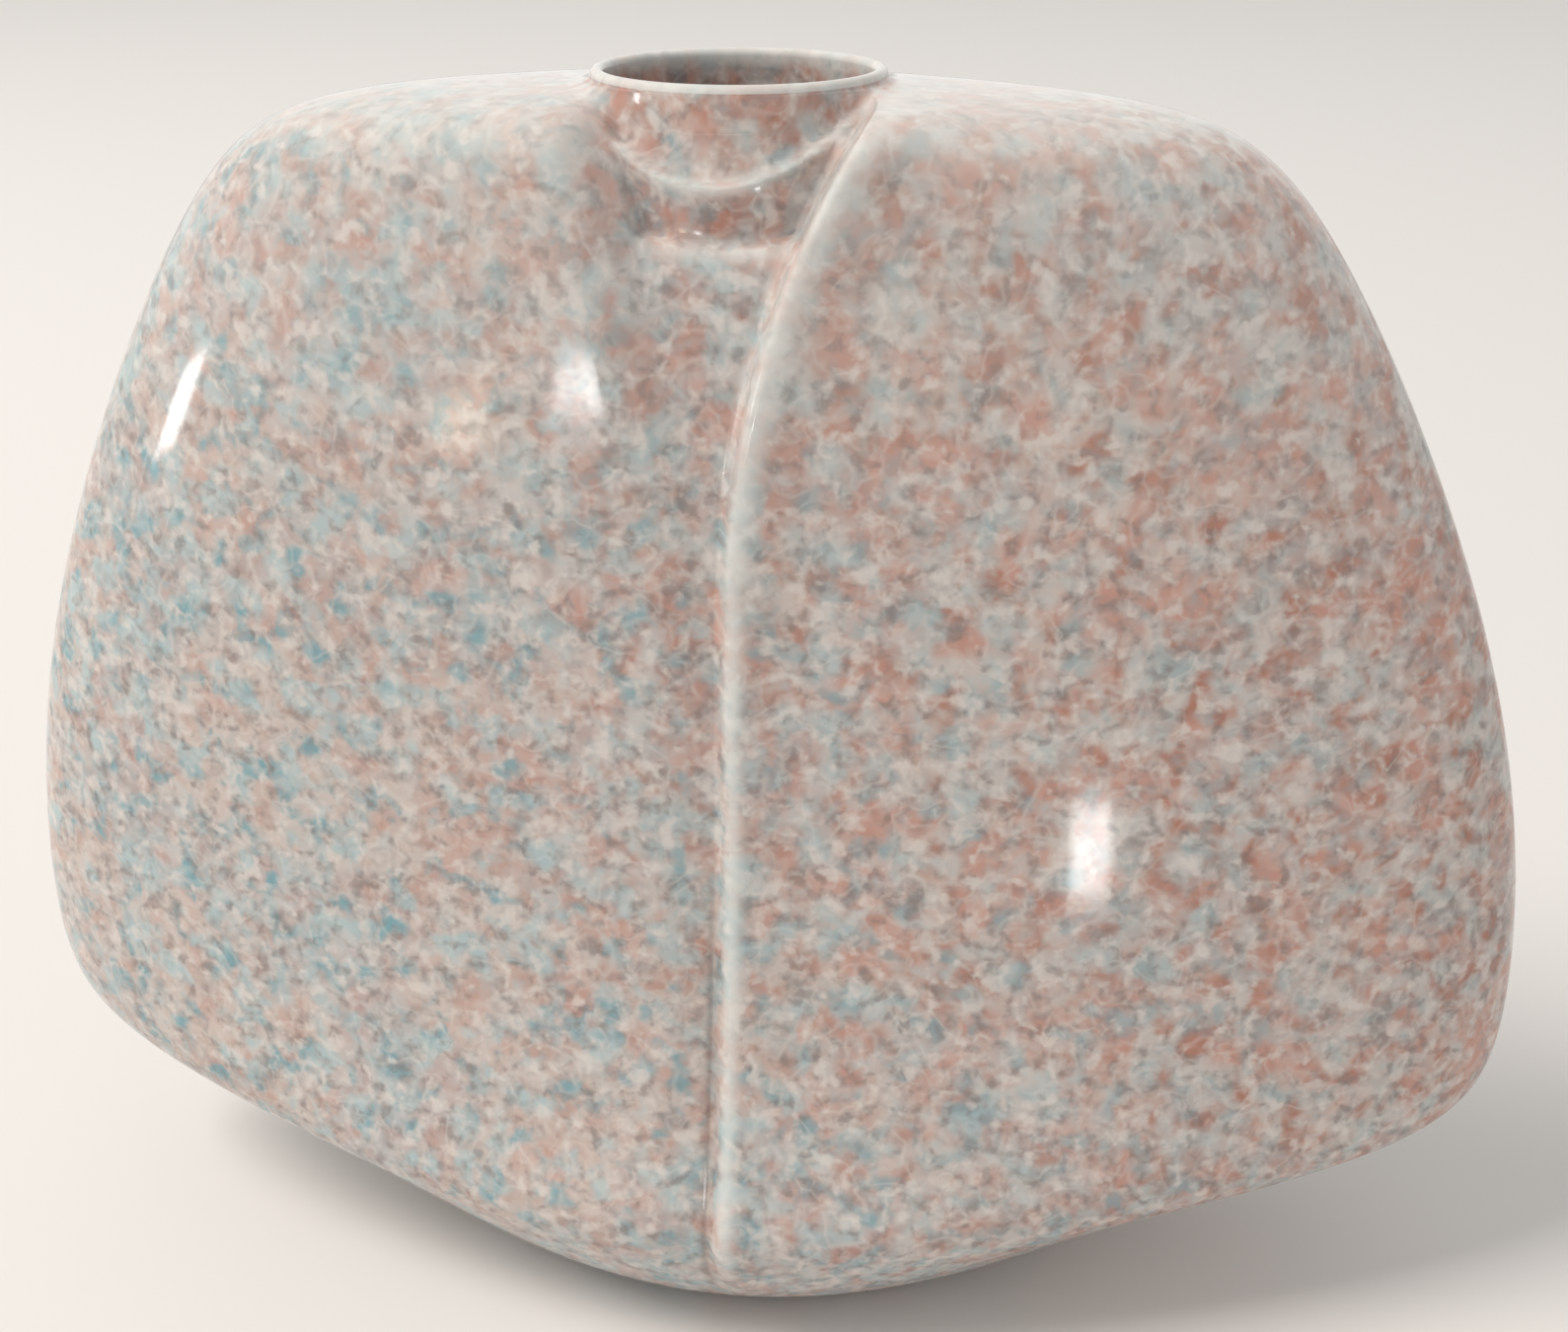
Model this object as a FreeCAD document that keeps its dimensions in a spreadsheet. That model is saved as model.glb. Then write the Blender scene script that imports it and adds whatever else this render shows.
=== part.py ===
"""Pillow vase: a large glazed vase with a short round neck between two overlapping front lobes.

The vase is put together from clay pieces that are luted while soft. Two front panels and one back
panel make the pillow. The right front panel stands proud of the left one and laps over it along a
crease. Below the neck the two edges part in a narrow V, which a recessed gusset fills, and a
sagging ring bridges the V between gusset and neck collar. A base slab closes the bottom, and a
foot ring under it carries the vase.

Frame: +Z up, +X along the width, the front faces -Y, the origin is on the ground under the centre.
Lengths are millimetres.
"""

import FreeCAD
import Part
import Sketcher

import math
import os

# The body's outline, one row per level from the foot to the seat of the neck: level name,
# height, half width, half depth, and pinch: how much thinner the sides are than an ellipse.
# The seat fits round the neck collar, so its two half sizes are formulas.
LEVELS = (
    ("foot", 3.0, 70.0, 43.0, 0.12),
    ("heel", 16.0, 97.0, 57.0, 0.16),
    ("flare", 35.0, 137.0, 66.0, 0.21),
    ("hip", 50.0, 178.0, 63.0, 0.25),
    ("belly", 89.0, 189.0, 53.0, 0.14),
    ("waist", 171.0, 173.0, 45.0, 0.03),
    ("shoulder", 259.0, 130.0, 43.0, -0.08),
    ("crown", 290.0, 91.0, 42.0, -0.04),
    ("seat", 296.0, "=neck_radius + seat_margin", "=neck_radius + seat_margin", 0.0),
)

SIZES = (
    ("wall", 5.0, "thickness of the clay panels"),
    ("hump", 2.5, "how far the shoulders swell above the crown beside the neck"),
    ("neck_radius", 31.5, "outer radius of the neck collar"),
    ("neck_wall", 3.0, "thickness of the neck collar"),
    ("neck_length", 34.0, "length of the neck collar"),
    ("lip_bevel", 0.9, "bevel on both edges of the lip"),
    ("rim_rise", 4.0, "height of the rim above the neck's seat"),
    ("seat_margin", 2.0, "how far the form reaches past the collar at the seat"),
    ("ring_proud", 4.0, "how far the ring stands out from the collar"),
    ("ring_top_drop", 15.0, "drop of the ring's upper edge below the seat at the front"),
    ("ring_bottom_drop", 27.0, "drop of the ring's lower edge below the seat at the front"),
    ("ring_top_sag", 17.0, "rise of the ring's upper edge one neck radius from the middle"),
    ("ring_bottom_sag", 5.0, "rise of the ring's lower edge one neck radius from the middle"),
    ("v_length", 121.0, "how far below the seat the two front edges part"),
    ("v_right_inset", 0.5, "how far inside the collar's side the right edge meets the seat"),
    ("v_left_inset", 9.5, "how far inside the collar's side the left edge meets the seat"),
    ("v_right_power", 2.6, "bend of the right edge"),
    ("v_left_power", 2.0, "bend of the left edge"),
    ("crease_half_width", 1.0, "half the width of the crease below the V"),
    ("crease_depth", 2.0, "depth of the crease"),
    ("crease_start", 12.0, "height where the crease starts"),
    ("crease_full", 45.0, "height where the crease and the lapel reach their full size"),
    ("throat_depth", 15.0, "depth that the V gains up to the seat"),
    ("throat_power", 5.0, "how late the V deepens"),
    ("gusset_wall", 7.0, "thickness of the gusset, and of the walls that turn in beside it"),
    ("return_width", 8.0, "width of the walls that turn in beside the V"),
    ("lapel_proud", 3.0, "how far the right panel stands out over the left one"),
    ("base_half_width", 60.0, "half width of the base slab"),
    ("base_half_depth", 33.0, "half depth of the base slab"),
    ("base_thickness", 6.0, "thickness of the base slab"),
    ("foot_margin", 2.0, "how far the foot ring reaches past the base slab"),
    ("foot_width", 7.0, "width of the foot ring"),
    ("foot_chamfer", 0.8, "chamfer on the foot ring's lower edges"),
)

SECTION_POINTS = 28
SECTIONS_PER_LEVEL = 3
REACH = 400.0
OVERLAP = 0.6


def add_sheet(doc):
    """Write every driving dimension into a spreadsheet, with an alias for each.

    The aliases come first, so that a formula finds the sizes that it names.
    """
    sheet = doc.addObject("Spreadsheet::Sheet", "Dimensions")
    rows = []
    for name, height, half_width, half_depth, pinch in LEVELS:
        rows.append((name + "_height", height, name + " level, height above the ground"))
        rows.append((name + "_half_width", half_width, name + " level, half width"))
        rows.append((name + "_half_depth", half_depth, name + " level, half depth"))
        rows.append((name + "_pinch", pinch, name + " level, thinning toward the sides"))
    rows.extend(SIZES)
    for row, (alias, _, note) in enumerate(rows, start=1):
        sheet.set("A%d" % row, note)
        sheet.setAlias("B%d" % row, alias)
    for row, (_, value, _) in enumerate(rows, start=1):
        sheet.set("B%d" % row, str(value))
    doc.recompute()
    return sheet


def natural_spline(values):
    """Return the natural cubic spline through values at 0, 1, 2, ... as a function."""
    count = len(values)
    bend = [0.0] * count
    pivot = [0.0] * count
    for i in range(1, count - 1):
        scale = 4.0 - pivot[i - 1]
        pivot[i] = 1.0 / scale
        bend[i] = (6.0 * (values[i + 1] - 2.0 * values[i] + values[i - 1]) - bend[i - 1]) / scale
    for i in range(count - 2, 0, -1):
        bend[i] -= pivot[i] * bend[i + 1]

    def at(level):
        i = min(int(level), count - 2)
        right = level - i
        left = 1.0 - right
        line = left * values[i] + right * values[i + 1]
        curve = (left ** 3 - left) * bend[i] + (right ** 3 - right) * bend[i + 1]
        return line + curve / 6.0

    return at


def smooth_step(value):
    """Rise smoothly from 0 at 0 to 1 at 1, and stay flat outside."""
    share = min(max(value, 0.0), 1.0)
    return share * share * (3.0 - 2.0 * share)


class Form:
    """The pillow: level 0 is the foot, the last level is the seat of the neck."""

    def __init__(self, sheet):
        names = [row[0] for row in LEVELS]
        self.size = sheet.get
        self.last = len(names) - 1
        self.seat = sheet.get("seat_height")
        self.v_bottom = self.seat - sheet.get("v_length")
        self.height = natural_spline([sheet.get(name + "_height") for name in names])
        self.half_width = natural_spline([sheet.get(name + "_half_width") for name in names])
        self.half_depth = natural_spline([sheet.get(name + "_half_depth") for name in names])
        self.pinch = natural_spline([sheet.get(name + "_pinch") for name in names])
        self.sections = [i / SECTIONS_PER_LEVEL for i in range(self.last * SECTIONS_PER_LEVEL + 1)]

    def swell(self, level):
        """Height that the shoulders gain beside the neck: none at the waist and at the seat."""
        waist = self.last - 3
        share = min(max((level - waist) / (self.last - waist), 0.0), 1.0)
        return self.size("hump") * math.sin(math.pi * share)

    def v_share(self, height):
        """0 up to the height where the front edges part, 1 at the seat of the neck."""
        return max((height - self.v_bottom) / self.size("v_length"), 0.0)

    def edge(self, side, height):
        """Distance of a front panel's inner edge from the middle of the front."""
        start = self.size("crease_half_width")
        end = self.size("neck_radius") - self.size("v_" + side + "_inset")
        return start + (end - start) * self.v_share(height) ** self.size("v_" + side + "_power")

    def presence(self, height):
        """How much of the crease and lapel there is: none at the foot, all from crease_full up."""
        start = self.size("crease_start")
        return smooth_step((height - start) / (self.size("crease_full") - start))

    def recess(self, height):
        """Depth below the form of the crease, and further up of the V."""
        throat = self.size("throat_depth") * self.v_share(height) ** self.size("throat_power")
        return self.size("crease_depth") * self.presence(height) + throat

    def point(self, level, angle, deeper=0.0):
        """Point of the outer surface: a pinched ellipse that swells upward at its ends."""
        cosine = math.cos(angle)
        thin = 1.0 - self.pinch(level) * cosine ** 2
        x = self.half_width(level) * cosine
        y = (self.half_depth(level) + deeper) * math.sin(angle) * thin
        return FreeCAD.Vector(x, y, self.height(level) + self.swell(level) * cosine ** 2)

    def outer_point(self, level, angle, proud):
        """Point of a surface that stands proud of the plain form, except at the foot."""
        return self.point(level, angle, proud * self.presence(self.height(level)))

    def inner_point(self, level, angle, proud):
        """Point one wall in from the outer surface, with a flat floor and a flat top."""
        step = 0.01
        before = self.outer_point(level, angle - step, proud)
        after = self.outer_point(level, angle + step, proud)
        low = self.outer_point(max(level - step, 0.0), angle, proud)
        high = self.outer_point(min(level + step, self.last), angle, proud)
        inward = (high - low).cross(after - before).normalize()
        spot = self.outer_point(level, angle, proud) + inward * self.size("wall")
        if level == 0.0:
            spot.z = self.size("foot_height") + self.size("wall")
        if level == self.last:
            spot.z = self.seat - self.size("wall")
        return spot

    def loft(self, point):
        """Solid through closed rings of points, with a ruled band between each ring and the next.

        Each ring starts at the middle of the back, clear of the side seams and the crease.
        """
        turns = [float(i) for i in range(SECTION_POINTS + 1)]
        angles = [2.0 * math.pi * (0.25 + i / SECTION_POINTS) for i in range(SECTION_POINTS)]
        rings = []
        for level in self.sections:
            curve = Part.BSplineCurve()
            points = [point(level, angle) for angle in angles]
            curve.interpolate(Points=points, PeriodicFlag=True, Parameters=turns)
            rings.append(Part.Wire([curve.toShape()]))
        return Part.makeLoft(rings, True, True)

    def outside(self, proud=0.0):
        """Solid inside the outer surface, which may stand proud of the plain form."""
        return self.loft(lambda level, angle: self.outer_point(level, angle, proud))

    def cavity(self, proud=0.0):
        """Solid of the hollow, one wall inside the outer surface."""
        return self.loft(lambda level, angle: self.inner_point(level, angle, proud))

    def recessed(self):
        """Solid behind the crease's floor and the gusset's front."""
        return self.loft(lambda level, angle: self.point(
            level, angle, -self.recess(self.height(level))))

    def behind(self):
        """Solid of the hollow behind the gusset and the walls beside it, down to the floor."""
        wall = self.size("gusset_wall")
        hollow = self.loft(lambda level, angle: self.point(
            level, angle, -self.recess(self.height(level)) - wall))
        floor = FreeCAD.Vector(-REACH, -REACH, self.size("foot_height") + self.size("wall"))
        return hollow.common(Part.makeBox(2.0 * REACH, 2.0 * REACH, REACH, floor))


def edge_curve(form, side, shift=0.0):
    """Outline in the plane y = -REACH of a front panel's inner edge, from far below to the rim."""
    sign = 1.0 if side == "right" else -1.0
    points = []
    for i in range(11):
        height = form.v_bottom + form.size("v_length") * i / 8.0
        points.append(FreeCAD.Vector(sign * (form.edge(side, height) + shift), -REACH, height))
    upward = FreeCAD.Vector(0, 0, 1)
    curve = Part.BSplineCurve()
    curve.interpolate(Points=points, InitialTangent=upward, FinalTangent=points[-1] - points[-2])
    below = FreeCAD.Vector(points[0].x, -REACH, -REACH)
    return below, points[-1], [Part.makeLine(below, points[0]), curve.toShape()]


def curtain(edges):
    """Solid from a closed outline in the plane y = -REACH, drawn back to the side seam's plane."""
    return Part.Face(Part.Wire(edges)).extrude(FreeCAD.Vector(0, REACH, 0))


def panel_region(form, side):
    """Everything in front of the side seam and outward of this panel's inner edge."""
    below, top, edges = edge_curve(form, side)
    far = math.copysign(REACH, top.x)
    corners = [top, FreeCAD.Vector(far, -REACH, top.z), FreeCAD.Vector(far, -REACH, -REACH), below]
    return curtain(edges + [Part.makeLine(a, b) for a, b in zip(corners, corners[1:])])


def region_between(first, second):
    """Everything in front of the side seam between two edge curves."""
    across_top = Part.makeLine(first[1], second[1])
    across_bottom = Part.makeLine(second[0], first[0])
    return curtain(first[2] + [across_top] + second[2][::-1] + [across_bottom])


def region_below(form, name):
    """Everything in front of the side seam and below the ring's sagging upper or lower edge."""
    radius = form.size("neck_radius")
    points = []
    for i in range(9):
        share = 1.5 * (i / 4.0 - 1.0)
        height = form.seat - form.size(name + "_drop") + form.size(name + "_sag") * share ** 2
        points.append(FreeCAD.Vector(radius * share, -REACH, height))
    curve = Part.BSplineCurve()
    curve.interpolate(Points=points)
    corners = [
        points[-1],
        FreeCAD.Vector(points[-1].x, -REACH, -REACH),
        FreeCAD.Vector(points[0].x, -REACH, -REACH),
        points[0],
    ]
    return curtain([curve.toShape()] + [Part.makeLine(a, b) for a, b in zip(corners, corners[1:])])


def upright(form, radius):
    """Plain cylinder round the vase's axis, from the waist to the rim."""
    low = form.size("waist_height")
    high = form.seat + form.size("rim_rise")
    return Part.makeCylinder(radius, high - low, FreeCAD.Vector(0, 0, low))


def carved(shape, *tools):
    """What is left of a shape after each tool in turn, without crumbs."""
    for tool in tools:
        shape = max(shape.cut(tool).Solids, key=lambda solid: solid.Volume)
    return shape


def front_panel(form, side, proud, collar, slab):
    """One lobe of the front. Beside the V its wall is thicker and turns in behind the gusset.

    The tools for the hollow overlap each other, so that no face of one lies on a face of another.
    """
    width = form.size("return_width")
    inner = edge_curve(form, side, -OVERLAP)
    beside_v = region_between(inner, edge_curve(form, side, width))
    past_it = region_between(inner, edge_curve(form, side, width + OVERLAP))
    block = form.outside(proud).common(panel_region(form, side))
    return carved(block, form.cavity(proud).cut(beside_v), form.behind().common(past_it), collar, slab)


def back_panel(form, collar, slab):
    """The plain back of the pillow, behind the side seam."""
    behind_seam = Part.makeBox(2.0 * REACH, REACH, 2.0 * REACH, FreeCAD.Vector(-REACH, 0.0, -REACH))
    block = form.outside().common(behind_seam)
    return carved(block, form.cavity(), collar, slab)


def throat_gusset(form, collar, slab):
    """The recessed triangle below the neck, and its tail down the crease."""
    throat = region_between(edge_curve(form, "left"), edge_curve(form, "right"))
    strip = form.recessed().common(throat).common(region_below(form, "ring_bottom"))
    return carved(strip, form.behind(), collar, slab)


def neck_ring(form, collar):
    """The ring across the V, sagging at the front like a fold of cloth."""
    throat = region_between(edge_curve(form, "left"), edge_curve(form, "right"))
    tube = upright(form, form.size("neck_radius") + form.size("ring_proud"))
    band = tube.common(throat).common(region_below(form, "ring_top"))
    return carved(band, region_below(form, "ring_bottom"), collar)


def add_solid(doc, name, shape):
    """Keep a finished solid in the document under its own label."""
    feature = doc.addObject("Part::Feature", name)
    feature.Label = name
    feature.Shape = shape
    feature.Placement = FreeCAD.Placement()
    return feature


def bind(sketch, kind, places, value, expression):
    """Add a driving constraint and tie it to the sheet."""
    index = sketch.addConstraint(Sketcher.Constraint(kind, *places, value))
    sketch.setExpression("Constraints[%d]" % index, expression)


def add_collar(doc, size):
    """Neck collar: a turned tube whose lip is bevelled inside and outside."""
    body = doc.addObject("PartDesign::Body", "neck_collar")
    body.Label = "neck_collar"
    sketch = body.newObject("Sketcher::SketchObject", "CollarProfile")
    upright_plane = [item for item in body.Origin.OriginFeatures if item.Role == "XZ_Plane"][0]
    sketch.AttachmentSupport = [(upright_plane, "")]
    sketch.MapMode = "FlatFace"
    outer = size("neck_radius")
    inner = outer - size("neck_wall")
    bevel = size("lip_bevel")
    top = size("seat_height") + size("rim_rise")
    low = top - size("neck_length")
    rim = "Dimensions.seat_height + Dimensions.rim_rise"
    corners = [FreeCAD.Vector(x, z, 0) for x, z in (
        (inner, low), (outer, low), (outer, top - bevel),
        (outer - bevel, top), (inner + bevel, top), (inner, top - bevel),
    )]
    lines = [Part.LineSegment(corners[i], corners[(i + 1) % 6]) for i in range(6)]
    sketch.addGeometry(lines, False)
    for i in range(6):
        sketch.addConstraint(Sketcher.Constraint("Coincident", i, 2, (i + 1) % 6, 1))
    sketch.addConstraint([
        Sketcher.Constraint("Horizontal", 0),
        Sketcher.Constraint("Vertical", 1),
        Sketcher.Constraint("Horizontal", 3),
        Sketcher.Constraint("Vertical", 5),
    ])
    bind(sketch, "DistanceX", (-1, 1, 0, 2), outer, "Dimensions.neck_radius")
    bind(sketch, "DistanceX", (0, 1, 0, 2), outer - inner, "Dimensions.neck_wall")
    bind(sketch, "DistanceY", (-1, 1, 0, 1), low, rim + " - Dimensions.neck_length")
    bind(sketch, "DistanceY", (-1, 1, 3, 1), top, rim)
    bind(sketch, "DistanceX", (2, 2, 2, 1), bevel, "Dimensions.lip_bevel")
    bind(sketch, "DistanceY", (2, 1, 2, 2), bevel, "Dimensions.lip_bevel")
    bind(sketch, "DistanceX", (4, 2, 4, 1), bevel, "Dimensions.lip_bevel")
    bind(sketch, "DistanceY", (4, 2, 4, 1), bevel, "Dimensions.lip_bevel")
    turned = body.newObject("PartDesign::Revolution", "CollarTurned")
    turned.Profile = sketch
    turned.ReferenceAxis = (sketch, ["V_Axis"])
    turned.Angle = 360.0
    return body


def add_oval(doc, name, half_width, half_depth, low, high):
    """Upright oval block between two heights. Every size is an expression in the sheet's cells."""
    outline = doc.addObject("Part::Ellipse", name + "Outline")
    outline.setExpression("MajorRadius", half_width)
    outline.setExpression("MinorRadius", half_depth)
    outline.setExpression("Placement.Base.z", low)
    block = doc.addObject("Part::Extrusion", name)
    block.Label = name
    block.Base = outline
    block.DirMode = "Custom"
    block.Dir = FreeCAD.Vector(0, 0, 1)
    block.Solid = True
    block.setExpression("LengthFwd", "(%s) - (%s)" % (high, low))
    return block


def add_foot_ring(doc):
    """The unglazed ring that the vase stands on, with both lower edges chamfered."""
    width = "Dimensions.base_half_width + Dimensions.foot_margin"
    depth = "Dimensions.base_half_depth + Dimensions.foot_margin"
    inset = " - Dimensions.foot_width"
    outer = add_oval(doc, "FootOuter", width, depth, "0", "Dimensions.foot_height")
    hollow = add_oval(doc, "FootHollow", width + inset, depth + inset, "0", "Dimensions.foot_height")
    ring = doc.addObject("Part::Cut", "FootBlank")
    ring.Base = outer
    ring.Tool = hollow
    doc.recompute()
    lower = [
        number for number, edge in enumerate(ring.Shape.Edges, start=1)
        if edge.BoundBox.ZMax < 0.01
    ]
    chamfered = doc.addObject("Part::Chamfer", "foot_ring")
    chamfered.Label = "foot_ring"
    chamfered.Base = ring
    cut = doc.Dimensions.get("foot_chamfer")
    chamfered.Edges = [(number, cut, cut) for number in lower]
    return chamfered


def build(doc):
    """Model every piece and return the finished ones."""
    sheet = add_sheet(doc)
    form = Form(sheet)
    collar = add_collar(doc, sheet.get)
    low = "Dimensions.foot_height"
    slab = add_oval(
        doc, "base_slab", "Dimensions.base_half_width", "Dimensions.base_half_depth",
        low, low + " + Dimensions.base_thickness",
    )
    ring = add_foot_ring(doc)
    doc.recompute()
    hole = upright(form, form.size("neck_radius"))
    floor = slab.Shape
    proud = form.size("lapel_proud")
    return [
        add_solid(doc, "right_front_panel", front_panel(form, "right", proud, hole, floor)),
        add_solid(doc, "left_front_panel", front_panel(form, "left", 0.0, hole, floor)),
        add_solid(doc, "back_panel", back_panel(form, hole, floor)),
        add_solid(doc, "throat_gusset", throat_gusset(form, hole, floor)),
        add_solid(doc, "neck_ring", neck_ring(form, hole)),
        collar,
        slab,
        ring,
    ]


def export(doc, pieces):
    """Check every object and write one STEP file per piece."""
    doc.recompute()
    for item in doc.Objects:
        if "Invalid" in item.State or "Error" in item.State:
            raise RuntimeError(item.Label + " failed")
    os.makedirs("parts", exist_ok=True)
    for piece in pieces:
        shape = piece.Shape
        if shape.isNull() or not shape.isValid() or len(shape.Solids) != 1:
            raise RuntimeError(piece.Label + " is not one valid solid")
        print("%-18s %10.0f mm3 %3d faces" % (piece.Label, shape.Volume, len(shape.Faces)))
    for piece in pieces:
        piece.Shape.exportStep("parts/" + piece.Label + ".step")


document = FreeCAD.newDocument("PillowVase")
export(document, build(document))
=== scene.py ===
import math

import bpy
import numpy as np
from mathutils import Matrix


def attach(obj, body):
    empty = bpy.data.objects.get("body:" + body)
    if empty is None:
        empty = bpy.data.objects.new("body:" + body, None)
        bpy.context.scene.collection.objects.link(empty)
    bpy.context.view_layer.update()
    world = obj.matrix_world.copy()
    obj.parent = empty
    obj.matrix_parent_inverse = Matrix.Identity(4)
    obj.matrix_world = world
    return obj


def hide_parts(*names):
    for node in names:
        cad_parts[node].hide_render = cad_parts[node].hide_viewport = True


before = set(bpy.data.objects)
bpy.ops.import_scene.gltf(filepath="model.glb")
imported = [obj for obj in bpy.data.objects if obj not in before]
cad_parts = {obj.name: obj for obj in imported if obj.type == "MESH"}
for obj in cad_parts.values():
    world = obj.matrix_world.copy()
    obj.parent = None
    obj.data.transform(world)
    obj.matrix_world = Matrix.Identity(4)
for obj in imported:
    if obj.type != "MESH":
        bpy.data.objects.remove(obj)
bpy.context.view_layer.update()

# Camera, at the photograph's viewing angle: close to the vase, to the right of its middle, and
# looking down on it. The lens is for a 36 mm wide sensor.
looking_down = math.radians(24.93)
turned_left = math.radians(8.14)
camera_data = bpy.data.cameras.new("camera")
camera_data.sensor_width = 36.0
camera_data.lens = 43.17
camera = bpy.data.objects.new("camera", camera_data)
camera.location = (0.0679, -0.4077, 0.3522)
camera.rotation_euler = (math.radians(90.0) - looking_down, 0.0, turned_left)
bpy.context.scene.collection.objects.link(camera)
bpy.context.scene.camera = camera

# Glazed body. The real vase is one thin shell of clay with glaze over every seam, so it is one
# closed skin: up the outside, over the lip, down the neck and the inside walls to the floor, and
# back under the foot. A row of FORM is its height, half width, half depth and pinch, in mm.
FORM = np.array([
    (3.0, 70.0, 43.0, 0.12),
    (16.0, 97.0, 57.0, 0.16),
    (35.0, 137.0, 66.0, 0.21),
    (50.0, 178.0, 63.0, 0.25),
    (89.0, 189.0, 53.0, 0.14),
    (171.0, 173.0, 45.0, 0.03),
    (259.0, 130.0, 43.0, -0.08),
    (290.0, 91.0, 42.0, -0.04),
    (296.0, 33.5, 33.5, 0.0),
])
HUMP = 2.5  # how far a shoulder swells up at its ends
WALL = 5.0
SEAT = 296.0  # the height where the body ends and the neck stands free
RIM = 300.0
NECK_RADIUS = 31.5
NECK_FOOT = 266.0  # the height of the neck's lower end, inside the body
LIP_RADIUS = 1.5
RING_TOP = (281.0, 17.0)  # the upper edge's height in the middle, and its rise to the sides
RING_BOTTOM = (269.0, 5.0)
RING_RADII = (34.3, 36.2)  # at the lower and the upper edge
V_LENGTH = 121.0
LEFT_EDGE = (1.0, 21.0, 2.0)  # distance from the middle, its gain up the V, and the gain's power
RIGHT_EDGE = (1.0, 29.0, 2.6)
CREASE = (12.0, 45.0)  # the heights where the crease begins and where it is full
RECESS = (2.0, 15.0)  # how far the gusset is sunk below the V, and what it gains up the V
LAPEL_CREST = 4.0  # from the lapel's edge to its crest
LAPEL_PROUD = (1.8, 3.0)  # how far the crest stands out below the V, and from its middle up
SLAB = (60.0, 33.0)
FLOOR = 8.0
UNDERSIDE = 3.0


def natural_spline(values, at):
    """Natural cubic spline through rows at 0, 1, 2, ...: its second derivatives solve one
    tridiagonal system, and each span is its chord plus two cubic terms."""
    last = len(values) - 1
    system = np.eye(last + 1)
    pull = np.zeros_like(values)
    for i in range(1, last):
        system[i, i - 1:i + 2] = (1.0, 4.0, 1.0)
        pull[i] = 6.0 * (values[i + 1] - 2.0 * values[i] + values[i - 1])
    bend = np.linalg.solve(system, pull)
    span = np.minimum(at.astype(int), last - 1)
    right = (at - span)[:, None]
    left = 1.0 - right
    chord = left * values[span] + right * values[span + 1]
    return chord + ((left ** 3 - left) * bend[span] + (right ** 3 - right) * bend[span + 1]) / 6.0


def smooth(value):
    """Rises from 0 at 0 to 1 at 1 with level ends."""
    share = np.clip(value, 0.0, 1.0)
    return share * share * (3.0 - 2.0 * share)


def soft_max(first, second, width):
    """The larger of two, with a round of the given width where they meet."""
    overlap = np.clip(0.5 + (first - second) / (2.0 * width), 0.0, 1.0)
    return second + (first - second) * overlap + width * overlap * (1.0 - overlap)


def bell(distance, width):
    """1 at no distance, and down to almost nothing at twice the width."""
    return np.exp(-(distance / width) ** 2)


def v_share(z):
    """0 up to the height where the two front edges part, 1 at the neck's seat."""
    return np.clip((z - SEAT + V_LENGTH) / V_LENGTH, 0.0, None)


def past_left_edge(x, z):
    """How far x is past the left lobe's inner edge, away from the middle."""
    start, gain, power = LEFT_EDGE
    return -start - gain * v_share(z) ** power - x


def past_right_edge(x, z):
    """How far x is past the lapel's edge, away from the middle."""
    start, gain, power = RIGHT_EDGE
    return x - start - gain * v_share(z) ** power


def ring_edges(x):
    """Heights of the ring's upper and lower edge, which sag toward the middle."""
    across = np.minimum(np.abs(x) / NECK_RADIUS, 1.0) ** 2
    return RING_TOP[0] + RING_TOP[1] * across, RING_BOTTOM[0] + RING_BOTTOM[1] * across


def round_depth(radius, x):
    """How far in front of the neck's axis an upright cylinder lies at x."""
    return np.sqrt(np.maximum(radius ** 2 - x ** 2, 0.0))


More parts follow.
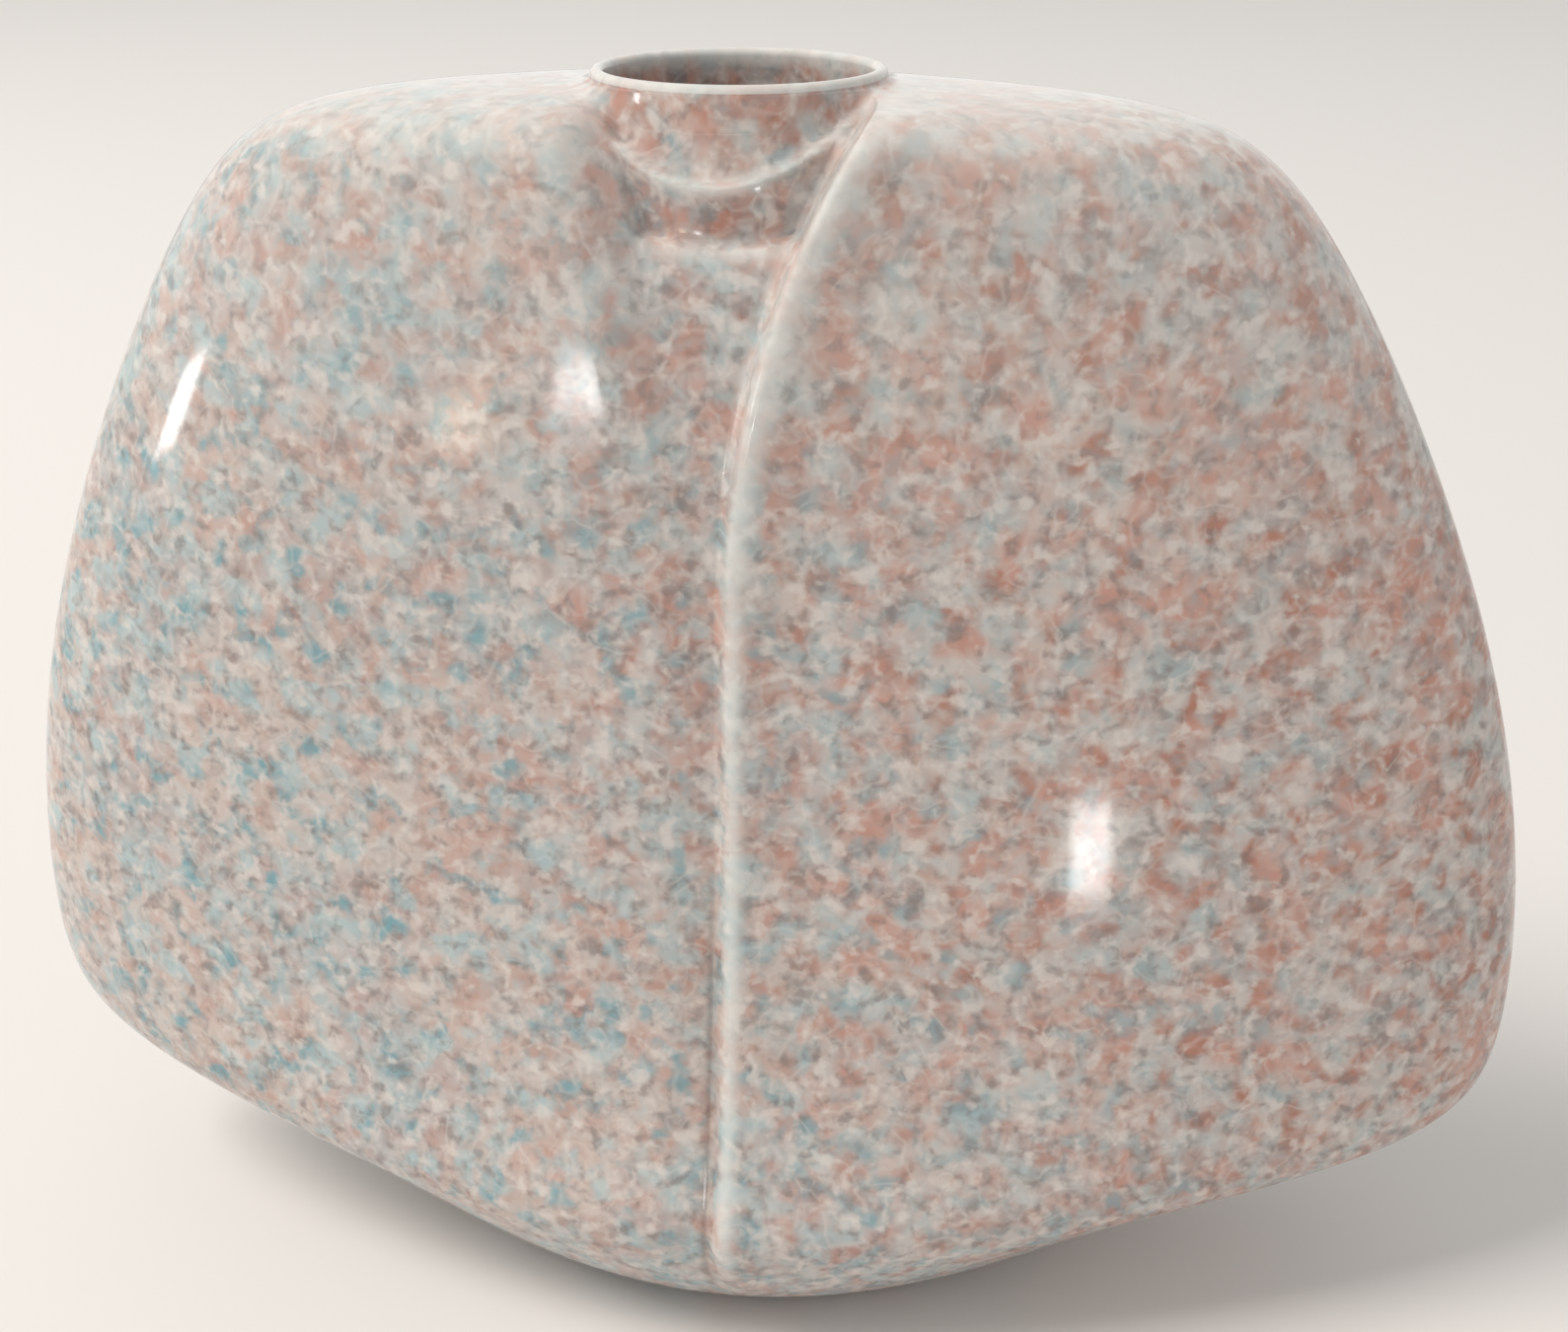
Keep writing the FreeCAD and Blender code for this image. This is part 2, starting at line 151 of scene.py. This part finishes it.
def front_depth(x, z, plain):
    """Depth of the front at (x, z), from the plain form's depth there.

    In the V the gusset sinks from the plain form toward the neck, and never past it. It ends in a
    step at the ring, whose front leans out up to its own edge and fades toward the neck's sides.
    Above the ring the neck starts with a hollow sweep. Each lobe rises out of that: the left one
    rolls in over 7 mm, and the right one ends in a rounded lapel, whose crest fades into the lobe
    over 9 mm. A groove marks the lap at the bottom.
    """
    presence = smooth((z - CREASE[0]) / (CREASE[1] - CREASE[0]))
    upper, lower = ring_edges(x)
    neck = round_depth(NECK_RADIUS, x)
    room = np.maximum(plain - neck, 0.3)
    recess = RECESS[0] * presence + RECESS[1] * v_share(z) ** 5
    sunk = recess / (1.0 + (recess / room) ** 4) ** 0.25
    gusset = plain - sunk - 7.0 * smooth((z - lower) / 1.8)
    lean = np.clip((z - lower) / (upper - lower), 0.0, 1.0)
    ring = round_depth(RING_RADII[0] + (RING_RADII[1] - RING_RADII[0]) * lean ** 2, x)
    past_edges = smooth((z - upper) / 2.2) + smooth((lower - z) / 2.0)
    ring -= 9.0 * (past_edges + smooth((np.abs(x) - 25.0) / 6.0))
    sweep = 2.6 * np.exp(-np.maximum(z - upper, 0.0) / 3.5)
    neck_front = neck + sweep - 30.0 * smooth((lower - z) / 20.0)
    middle = soft_max(soft_max(gusset, ring, 0.35), neck_front, 0.6)

    past_left = past_left_edge(x, z)
    left = plain - sunk * bell(np.maximum(past_left, 0.0), 7.0)
    past_right = past_right_edge(x, z)
    roll = np.where(past_right < LAPEL_CREST, 2.8, 9.0)
    up_the_v = np.minimum(2.0 * v_share(z), 1.0)
    proud = presence * (LAPEL_PROUD[0] + (LAPEL_PROUD[1] - LAPEL_PROUD[0]) * up_the_v)
    right = plain + proud * bell(past_right - LAPEL_CREST, roll)
    depth = middle + (soft_max(left, middle, 0.5) - middle) * smooth((past_left + 0.5) / 3.0)
    depth = depth + (soft_max(right, middle, 0.5) - depth) * smooth((past_right + 1.0) / 3.5)
    groove = 0.6 * bell(x + 0.2, 1.0) * smooth((130.0 - z) / 25.0)
    return depth - presence * groove


def column_turns(height, half_width):
    """Turn of every column at each row, from the left side seam round the front to the right one
    and back behind. On the front the columns crowd along the two edges and follow them."""
    left = np.arccos(np.clip(past_left_edge(0.0, height) / half_width, -1.0, 1.0))
    right = np.arccos(np.clip(-past_right_edge(0.0, height) / half_width, -1.0, 1.0))
    places = np.linspace(0.0, 1.0, 91)
    crowded = 0.25 * places + 0.75 * places ** 2
    across = np.linspace(0.0, 1.0, 21)[1:-1]
    behind = -np.pi * np.linspace(0.0, 1.0, 101)[1:-1]
    return np.hstack([
        left + (np.pi - left) * crowded[::-1],
        left + (right - left) * across,
        right * (1.0 - crowded),
        np.broadcast_to(behind, (len(height), len(behind))),
    ])


def plain_rows(levels):
    """The form without its front's detail, and each point's turn. A row is a pinched ellipse that
    swells upward at its ends between level 5 and the neck."""
    height, half_width, half_depth, pinch = natural_spline(FORM, levels).T[:, :, None]
    turn = column_turns(height, half_width)
    cosine = np.cos(turn)
    swell = HUMP * np.sin(np.pi * np.clip((levels[:, None] - 5.0) / 3.0, 0.0, 1.0))
    depth = half_depth * np.sin(turn) * (1.0 - pinch * cosine ** 2)
    return np.stack([half_width * cosine, -depth, height + swell * cosine ** 2], axis=-1), turn


def outside_rows(levels):
    """The outer surface: the plain form, with the front's detail faded out toward the seams, and
    raised a little round the neck into a fillet."""
    rows, turn = plain_rows(levels)
    x, y, z = rows[..., 0], rows[..., 1], rows[..., 2]
    fade = smooth(np.sin(turn) / 0.25)
    front = y - (front_depth(x, z, -y) + y) * fade
    y = np.where(turn > 0.0, front, y)
    off_neck = np.maximum(np.hypot(x, y) - NECK_RADIUS, 0.0)
    raised = z + 1.9 * np.exp(-off_neck / 3.0) * smooth(levels[:, None] - 7.0)
    return np.stack([x, y, raised], axis=-1)


def inside_rows(levels):
    """The inner surface: the plain form moved in by one wall, square to itself. Behind the V it
    lies one wall behind the front's detail, and above the neck's lower end it stays outside it."""
    step = 0.01
    rows = plain_rows(levels)[0]
    lower = plain_rows(np.maximum(levels - step, 0.0))[0]
    upper = plain_rows(np.minimum(levels + step, len(FORM) - 1.0))[0]
    along = np.roll(rows, -1, axis=1) - np.roll(rows, 1, axis=1)
    inward = np.cross(upper - lower, along)
    inward /= np.linalg.norm(inward, axis=-1, keepdims=True)
    rows = rows + WALL * inward
    x, y, z = rows[..., 0], rows[..., 1], np.maximum(rows[..., 2], FLOOR)
    deepest = np.maximum(np.abs(outside_rows(levels)[..., 1]) - WALL, 0.0)
    collar = round_depth(NECK_RADIUS + 0.2, x) * smooth((z - NECK_FOOT + 4.0) / 4.0)
    depth = np.maximum(np.minimum(np.abs(y), deepest), collar)
    return np.stack([x, np.where(y < 0.0, -depth, depth), z], axis=-1)


def circles(sizes, like):
    """Level circles of (radius, height) whose columns keep a given row's directions."""
    away = like[:, :2] / np.linalg.norm(like[:, :2], axis=-1, keepdims=True)
    sizes = np.array(sizes)
    flat = sizes[:, :1, None] * away
    up = np.broadcast_to(sizes[:, 1:, None], flat.shape[:2] + (1,))
    return np.concatenate([flat, up], axis=-1)


def closed_skin(rows, name):
    """Mesh through rows of points, closed round each row and from the last row to the first."""
    count, width = rows.shape[:2]
    here = np.arange(count * width).reshape(count, width)
    above = np.roll(here, -1, axis=0)
    faces = np.stack([here, np.roll(here, -1, axis=1), np.roll(above, -1, axis=1), above], axis=-1)
    mesh = bpy.data.meshes.new(name)
    mesh.vertices.add(count * width)
    mesh.vertices.foreach_set("co", (rows * 0.001).ravel())
    mesh.loops.add(faces.size)
    mesh.loops.foreach_set("vertex_index", faces.ravel())
    mesh.polygons.add(count * width)
    mesh.polygons.foreach_set("loop_start", np.arange(0, faces.size, 4))
    mesh.polygons.foreach_set("use_smooth", np.ones(count * width, dtype=bool))
    mesh.update(calc_edges=True)
    skin = bpy.data.objects.new(name, mesh)
    bpy.context.scene.collection.objects.link(skin)
    return skin


# The rows crowd at the ring and on the shoulders, where the form turns fastest.
outside = outside_rows(np.concatenate([
    np.linspace(0.0, 4.0, 70)[:-1],
    np.linspace(4.0, 6.1, 75)[:-1],
    np.linspace(6.1, 7.0, 46)[:-1],
    np.linspace(7.0, 8.0, 40),
]))
seat = outside[-1]

# Above the seat the fillet runs up into the neck, and the lip is a half round.
rise = np.linspace(0.0, 1.0, 6)[1:, None, None]
eased = 1.0 - (1.0 - rise) ** 2
neck_end = circles([(NECK_RADIUS, RIM - LIP_RADIUS - 0.2)], seat)
fillet = seat + (neck_end - seat) * np.concatenate([eased, eased, rise], axis=-1)
lip_turn = np.linspace(0.0, np.pi, 11)
lip = circles(np.stack([
    NECK_RADIUS - LIP_RADIUS + LIP_RADIUS * np.cos(lip_turn),
    RIM - LIP_RADIUS + LIP_RADIUS * np.sin(lip_turn),
], axis=-1), seat)
bore = NECK_RADIUS - 2.0 * LIP_RADIUS
chamfer = 1.0
tube = circles(
    [(bore, z) for z in np.linspace(RIM - LIP_RADIUS, NECK_FOOT + chamfer, 12)[1:]]
    + [(bore + chamfer, NECK_FOOT), (NECK_RADIUS - chamfer, NECK_FOOT)]
    + [(NECK_RADIUS, NECK_FOOT + chamfer)]
    + [(NECK_RADIUS, z) for z in np.linspace(NECK_FOOT + chamfer, SEAT - WALL - 1.0, 6)[1:]], seat)

inside = inside_rows(np.concatenate([np.linspace(7.9, 7.0, 10), np.linspace(6.85, 0.0, 40)]))

foot_turn = plain_rows(np.array([0.0]))[1]
slab_edge = np.stack([
    SLAB[0] * np.cos(foot_turn), -SLAB[1] * np.sin(foot_turn), np.full_like(foot_turn, FLOOR),
], axis=-1)
slab_under = slab_edge * (1.0, 1.0, UNDERSIDE / FLOOR)

body = closed_skin(
    np.concatenate([outside, fillet, lip, tube, inside, slab_edge, slab_under]), "glazed_body")
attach(body, "root")
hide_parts("right_front_panel", "left_front_panel", "back_panel",
            "throat_gusset", "neck_ring", "neck_collar")

# Pale marks, partly real and partly painted light: the glaze runs thin and pale on the lapel's
# crest, the ring's two edges and the lip, and a painted highlight lies on the same crests;
# painted light makes the shoulders and the upper part paler. Painted shade darkens the lap
# groove below the V.
x, y, z = outside[..., 0], outside[..., 1], outside[..., 2]
in_front = y < 0.0
opening = v_share(z)
past_right = past_right_edge(x, z)
upper, lower = ring_edges(x)
in_v = in_front * smooth(1.0 - past_left_edge(x, z) / 5.0) * smooth(1.0 - past_right / 3.0)
# Lapel crest: the glaze runs thin here, and a painted highlight lies along it.
crest = in_front * bell(past_right - LAPEL_CREST - opening, 2.1 + 3.5 * opening)
crest = crest * smooth((z - 14.0) / 30.0)
# Ring edges: the glaze runs thin here, and a painted highlight lies on their upward-facing crests.
ledges = in_v * np.maximum(0.9 * bell(z - upper + 0.3, 1.5), 0.8 * bell(z - lower + 1.2, 1.8))
# Painted light: the upper part and the shoulder tops paler, as if lit from above.
painted_shoulder_light = 0.2 * smooth((z - 190.0) / 80.0) + 0.4 * smooth((z - 282.0) / 10.0)
thin_and_lit = np.zeros(len(body.data.vertices))
thin_and_lit[:x.size] = np.maximum(np.maximum(crest, ledges), painted_shoulder_light * (1.0 - in_v)).ravel()
lip_start = x.size + fillet[..., 0].size
thin_and_lit[lip_start:lip_start + lip[..., 0].size] = 1.0
# Painted shade along the lap groove below the V.
lap_shade_mask = in_front * bell(x + 0.3, 1.3) * smooth((z - 14.0) / 14.0) * smooth((150.0 - z) / 40.0)
painted_lap_shade = np.zeros(len(body.data.vertices))
painted_lap_shade[:x.size] = lap_shade_mask.ravel()
for name, values in (("thin_glaze_and_painted_light", thin_and_lit), ("painted_shade_in_lap", painted_lap_shade)):
    body.data.attributes.new(name, "FLOAT", "POINT").data.foreach_set("value", values)


# Sponged glaze: a cream ground under soft dabs of rose, turquoise and grey that run into each
# other, with pale wisps where the sponge missed and grey rims round its pores. A clear gloss
# glaze lies over it all. Sizes are in millimetres on the vase.
def linear(code):
    """An sRGB hex colour as the linear values that a shader takes."""
    channels = [int(code[i:i + 2], 16) / 255.0 for i in (1, 3, 5)]
    return [c / 12.92 if c <= 0.04045 else ((c + 0.055) / 1.055) ** 2.4 for c in channels] + [1.0]


def node(tree, kind, settings, inputs):
    """Adds a node: settings are its own properties, inputs are numbers, colours or links."""
    made = tree.nodes.new(kind)
    for name, value in settings.items():
        setattr(made, name, value)
    for name, value in inputs.items():
        if isinstance(value, bpy.types.NodeSocket):
            tree.links.new(value, made.inputs[name])
        else:
            made.inputs[name].default_value = value
    return made


def offset(shift):
    """Where a pattern is read from, so that no two patterns with their own shifts coincide."""
    return (shift, -0.7 * shift, 1.3 * shift)


def sponge_on(tree, place, under, code, dab, reach, strength, shift):
    """Sponges a colour on in soft dabs of a size. reach is where in the noise a dab begins and
    where it is full."""
    moved = node(tree, "ShaderNodeVectorMath", {"operation": "ADD"}, {0: place, 1: offset(shift)})
    dabs = node(tree, "ShaderNodeTexNoise", {}, {
        "Vector": moved.outputs[0], "Scale": 1.0 / dab,
        "Detail": 2.5, "Roughness": 0.48, "Distortion": 0.25,
    })
    cover = node(tree, "ShaderNodeMapRange", {"interpolation_type": "SMOOTHSTEP"}, {
        "Value": dabs.outputs[0], "From Min": reach[0], "From Max": reach[1],
        "To Min": 0.0, "To Max": strength,
    })
    return node(tree, "ShaderNodeMix", {"data_type": "RGBA"}, {
        0: cover.outputs[0], 6: under, 7: linear(code),
    }).outputs[2]


def lay_wisps(tree, place, under, code, spacing, width, strength, shift):
    """Lays soft lines along the places where a noise crosses its middle. width is how far from
    its middle the noise may be."""
    moved = node(tree, "ShaderNodeVectorMath", {"operation": "ADD"}, {0: place, 1: offset(shift)})
    drift = node(tree, "ShaderNodeTexNoise", {}, {
        "Vector": moved.outputs[0], "Scale": 1.0 / spacing,
        "Detail": 1.5, "Roughness": 0.5, "Distortion": 0.4,
    })
    off = node(tree, "ShaderNodeMath", {"operation": "SUBTRACT"}, {0: drift.outputs[0], 1: 0.5})
    size = node(tree, "ShaderNodeMath", {"operation": "ABSOLUTE"}, {0: off.outputs[0]})
    line = node(tree, "ShaderNodeMapRange", {"interpolation_type": "SMOOTHSTEP"}, {
        "Value": size.outputs[0], "From Min": 0.0, "From Max": width,
        "To Min": strength, "To Max": 0.0,
    })
    return node(tree, "ShaderNodeMix", {"data_type": "RGBA"}, {
        0: line.outputs[0], 6: under, 7: linear(code),
    }).outputs[2]


def rim_pores(tree, place, under, code, spacing, radius, width, strength):
    """Draws the rims that the sponge's big pores leave: a ring in every cell of a Voronoi pattern,
    bent a few millimetres by noise so that none is round."""
    bend = 5.0
    noise = node(tree, "ShaderNodeTexNoise", {}, {
        "Vector": place, "Scale": 1.0 / bend, "Detail": 1.0,
    })
    bent = node(tree, "ShaderNodeVectorMath", {"operation": "MULTIPLY_ADD"}, {
        0: noise.outputs[1], 1: (bend, bend, bend), 2: place,
    })
    cells = node(tree, "ShaderNodeTexVoronoi", {}, {
        "Vector": bent.outputs[0], "Scale": 1.0 / spacing, "Randomness": 1.0,
    })
    off = node(tree, "ShaderNodeMath", {"operation": "SUBTRACT"}, {
        0: cells.outputs["Distance"], 1: radius / spacing,
    })
    size = node(tree, "ShaderNodeMath", {"operation": "ABSOLUTE"}, {0: off.outputs[0]})
    line = node(tree, "ShaderNodeMapRange", {"interpolation_type": "SMOOTHSTEP"}, {
        "Value": size.outputs[0], "From Min": 0.0, "From Max": width / spacing,
        "To Min": strength, "To Max": 0.0,
    })
    return node(tree, "ShaderNodeMix", {"data_type": "RGBA"}, {
        0: line.outputs[0], 6: under, 7: linear(code),
    }).outputs[2]


def where_marked(tree, under, code, attribute, strength):
    """Tints the places that an attribute of the skin marks."""
    marked = node(tree, "ShaderNodeAttribute", {"attribute_name": attribute}, {})
    share = node(tree, "ShaderNodeMath", {"operation": "MULTIPLY"}, {
        0: marked.outputs["Fac"], 1: strength,
    })
    return node(tree, "ShaderNodeMix", {"data_type": "RGBA"}, {
        0: share.outputs[0], 6: under, 7: linear(code),
    }).outputs[2]


glaze = bpy.data.materials.new("sponged_glaze")
glaze.use_nodes = True
tree = glaze.node_tree
shader = tree.nodes["Principled BSDF"]
coords = node(tree, "ShaderNodeTexCoord", {}, {}).outputs["Object"]
place = node(tree, "ShaderNodeVectorMath", {"operation": "SCALE"}, {
    0: coords, "Scale": 1000.0,
}).outputs[0]

# The sponge carried more rose up to the right, and more turquoise down to the left. The product
# runs from -0.4 at the lower left corner to 0.7 at the right shoulder.
upward = node(tree, "ShaderNodeVectorMath", {"operation": "DOT_PRODUCT"}, {
    0: place, 1: (0.0030, 0.0, 0.0014),
})
across_vase = {"Value": upward.outputs["Value"], "From Min": -0.1, "From Max": 0.7}
rosy, cool = (
    node(tree, "ShaderNodeMapRange", {}, {**across_vase, "To Min": low, "To Max": high}).outputs[0]
    for low, high in ((0.4, 1.25), (1.0, 0.35))
)

# Each layer has its colour, dab size, reach, strength and shift.
colour = linear("#C7BCB6")
for layer in (
    ("#B8B9B9", 40.0, (0.40, 0.60), cool, 31.0),
    ("#AE7866", 7.5, (0.41, 0.70), rosy, 53.0),
    ("#C39486", 14.0, (0.42, 0.68), rosy, 5.0),
    ("#77A2AC", 7.5, (0.47, 0.72), cool, 17.0),
    ("#AEC0C3", 9.0, (0.48, 0.70), cool, 67.0),
    ("#7D7370", 3.8, (0.47, 0.72), 0.62, 137.0),
    ("#DCD4CE", 4.0, (0.48, 0.72), 0.7, 91.0),
):
    colour = sponge_on(tree, place, colour, *layer)
colour = rim_pores(
    tree, place, colour, "#878081", spacing=9.0, radius=3.0, width=1.3, strength=0.22)
colour = lay_wisps(
    tree, place, colour, "#E0DAD4", spacing=8.0, width=0.08, strength=0.22, shift=23.0)
# Pale tint: thin glaze on the crests and lip, painted highlights on the crests, painted light on the
# shoulders.
colour = where_marked(tree, colour, "#E0E4E1", "thin_glaze_and_painted_light", strength=0.65)
# Dark tint: painted shade in the lap groove below the V.
colour = where_marked(tree, colour, "#7C655B", "painted_shade_in_lap", strength=0.35)
tree.links.new(colour, shader.inputs["Base Color"])
shader.inputs["Roughness"].default_value = 0.09
shader.inputs["IOR"].default_value = 1.5
body.data.materials.append(glaze)

# Foot ring and base slab: bare clay, fired to a warm buff, as the glaze is wiped off before
# firing. Its grog shows as grains under a millimetre across.
clay = bpy.data.materials.new("bare_clay")
clay.use_nodes = True
tree = clay.node_tree
shader = tree.nodes["Principled BSDF"]
coords = node(tree, "ShaderNodeTexCoord", {}, {}).outputs["Object"]
grain = 0.0008
grains = node(tree, "ShaderNodeTexNoise", {}, {
    "Vector": coords, "Scale": 1.0 / grain, "Detail": 3.0,
})
share = node(tree, "ShaderNodeMapRange", {}, {
    "Value": grains.outputs[0], "From Min": 0.35, "From Max": 0.65,
})
buff = node(tree, "ShaderNodeMix", {"data_type": "RGBA"}, {
    0: share.outputs[0], 6: linear("#C2AE94"), 7: linear("#A89478"),
})
tree.links.new(buff.outputs[2], shader.inputs["Base Color"])
bump = node(tree, "ShaderNodeBump", {}, {
    "Height": grains.outputs[0], "Strength": 0.3, "Distance": 0.0002,
})
tree.links.new(bump.outputs[0], shader.inputs["Normal"])
shader.inputs["Roughness"].default_value = 0.8
for name in ("base_slab", "foot_ring"):
    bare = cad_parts[name].data
    bare.materials.clear()
    bare.materials.append(clay)

# Studio: a pale floor, a pale surround that the camera and the gloss see as white, one soft lamp
# from the upper left, and four small lamps for the windows that the gloss reflects.
floor_mesh = bpy.data.meshes.new("floor")
reach = 12.0
corners = [(-reach, -reach, 0), (reach, -reach, 0), (reach, reach, 0), (-reach, reach, 0)]
floor_mesh.from_pydata(corners, [], [(0, 1, 2, 3)])
floor = bpy.data.objects.new("floor", floor_mesh)
bpy.context.scene.collection.objects.link(floor)
pale = bpy.data.materials.new("pale_floor")
pale.use_nodes = True
shader = pale.node_tree.nodes["Principled BSDF"]
shader.inputs["Base Color"].default_value = linear("#EAE8E6")
shader.inputs["Roughness"].default_value = 0.6
floor_mesh.materials.append(pale)

world = bpy.data.worlds.new("studio")
world.use_nodes = True
bpy.context.scene.world = world
tree = world.node_tree
rays = node(tree, "ShaderNodeLightPath", {}, {})
seen = node(tree, "ShaderNodeMath", {"operation": "MAXIMUM"}, {
    0: rays.outputs["Is Camera Ray"], 1: rays.outputs["Is Glossy Ray"],
})
strength = node(tree, "ShaderNodeMapRange", {}, {
    "Value": seen.outputs[0], "To Min": 0.56, "To Max": 1.0,
})
background = tree.nodes["Background"]
background.inputs["Color"].default_value = (1.0, 0.985, 0.96, 1.0)
tree.links.new(strength.outputs[0], background.inputs["Strength"])


def lamp(name, place, target, width, height, power, code):
    """Rectangular lamp at a place in metres, turned toward a target."""
    data = bpy.data.lights.new(name, "AREA")
    data.shape = "RECTANGLE"
    data.size = width
    data.size_y = height
    data.energy = power
    data.color = linear(code)[:3]
    made = bpy.data.objects.new(name, data)
    made.location = place
    away = np.array(place) - np.array(target)
    flat = math.hypot(away[0], away[1])
    made.rotation_euler = (math.atan2(flat, away[2]), 0.0, math.atan2(away[0], -away[1]))
    bpy.context.scene.collection.objects.link(made)
    return made


key = lamp("key", (-2.6, -1.1, 4.05), (0.0, 0.0, 0.15), 2.0, 2.0, 166.0, "#FFF8F0")
key.visible_glossy = False

# A window's target is the place on the glaze where its highlight lies.
white = "#FFFFFF"
for name, place, target, width, height, power, code in (
    ("window_low", (0.167, -0.288, 0.037), (0.084, -0.041, 0.140), 0.022, 0.024, 0.028, white),
    ("window_left", (-0.224, -0.587, 0.087), (-0.026, -0.042, 0.242), 0.060, 0.022, 0.065, white),
    ("window_dim", (-0.343, -0.543, 0.083), (-0.053, -0.040, 0.233), 0.060, 0.025, 0.030, "#FFF2DC"),
    ("window_side", (-1.50, -0.50, 0.12), (-0.122, -0.024, 0.237), 0.130, 0.130, 0.750, white),
):
    lamp(name, place, target, width, height, power, code).visible_diffuse = False

bpy.context.scene.view_settings.view_transform = "Standard"
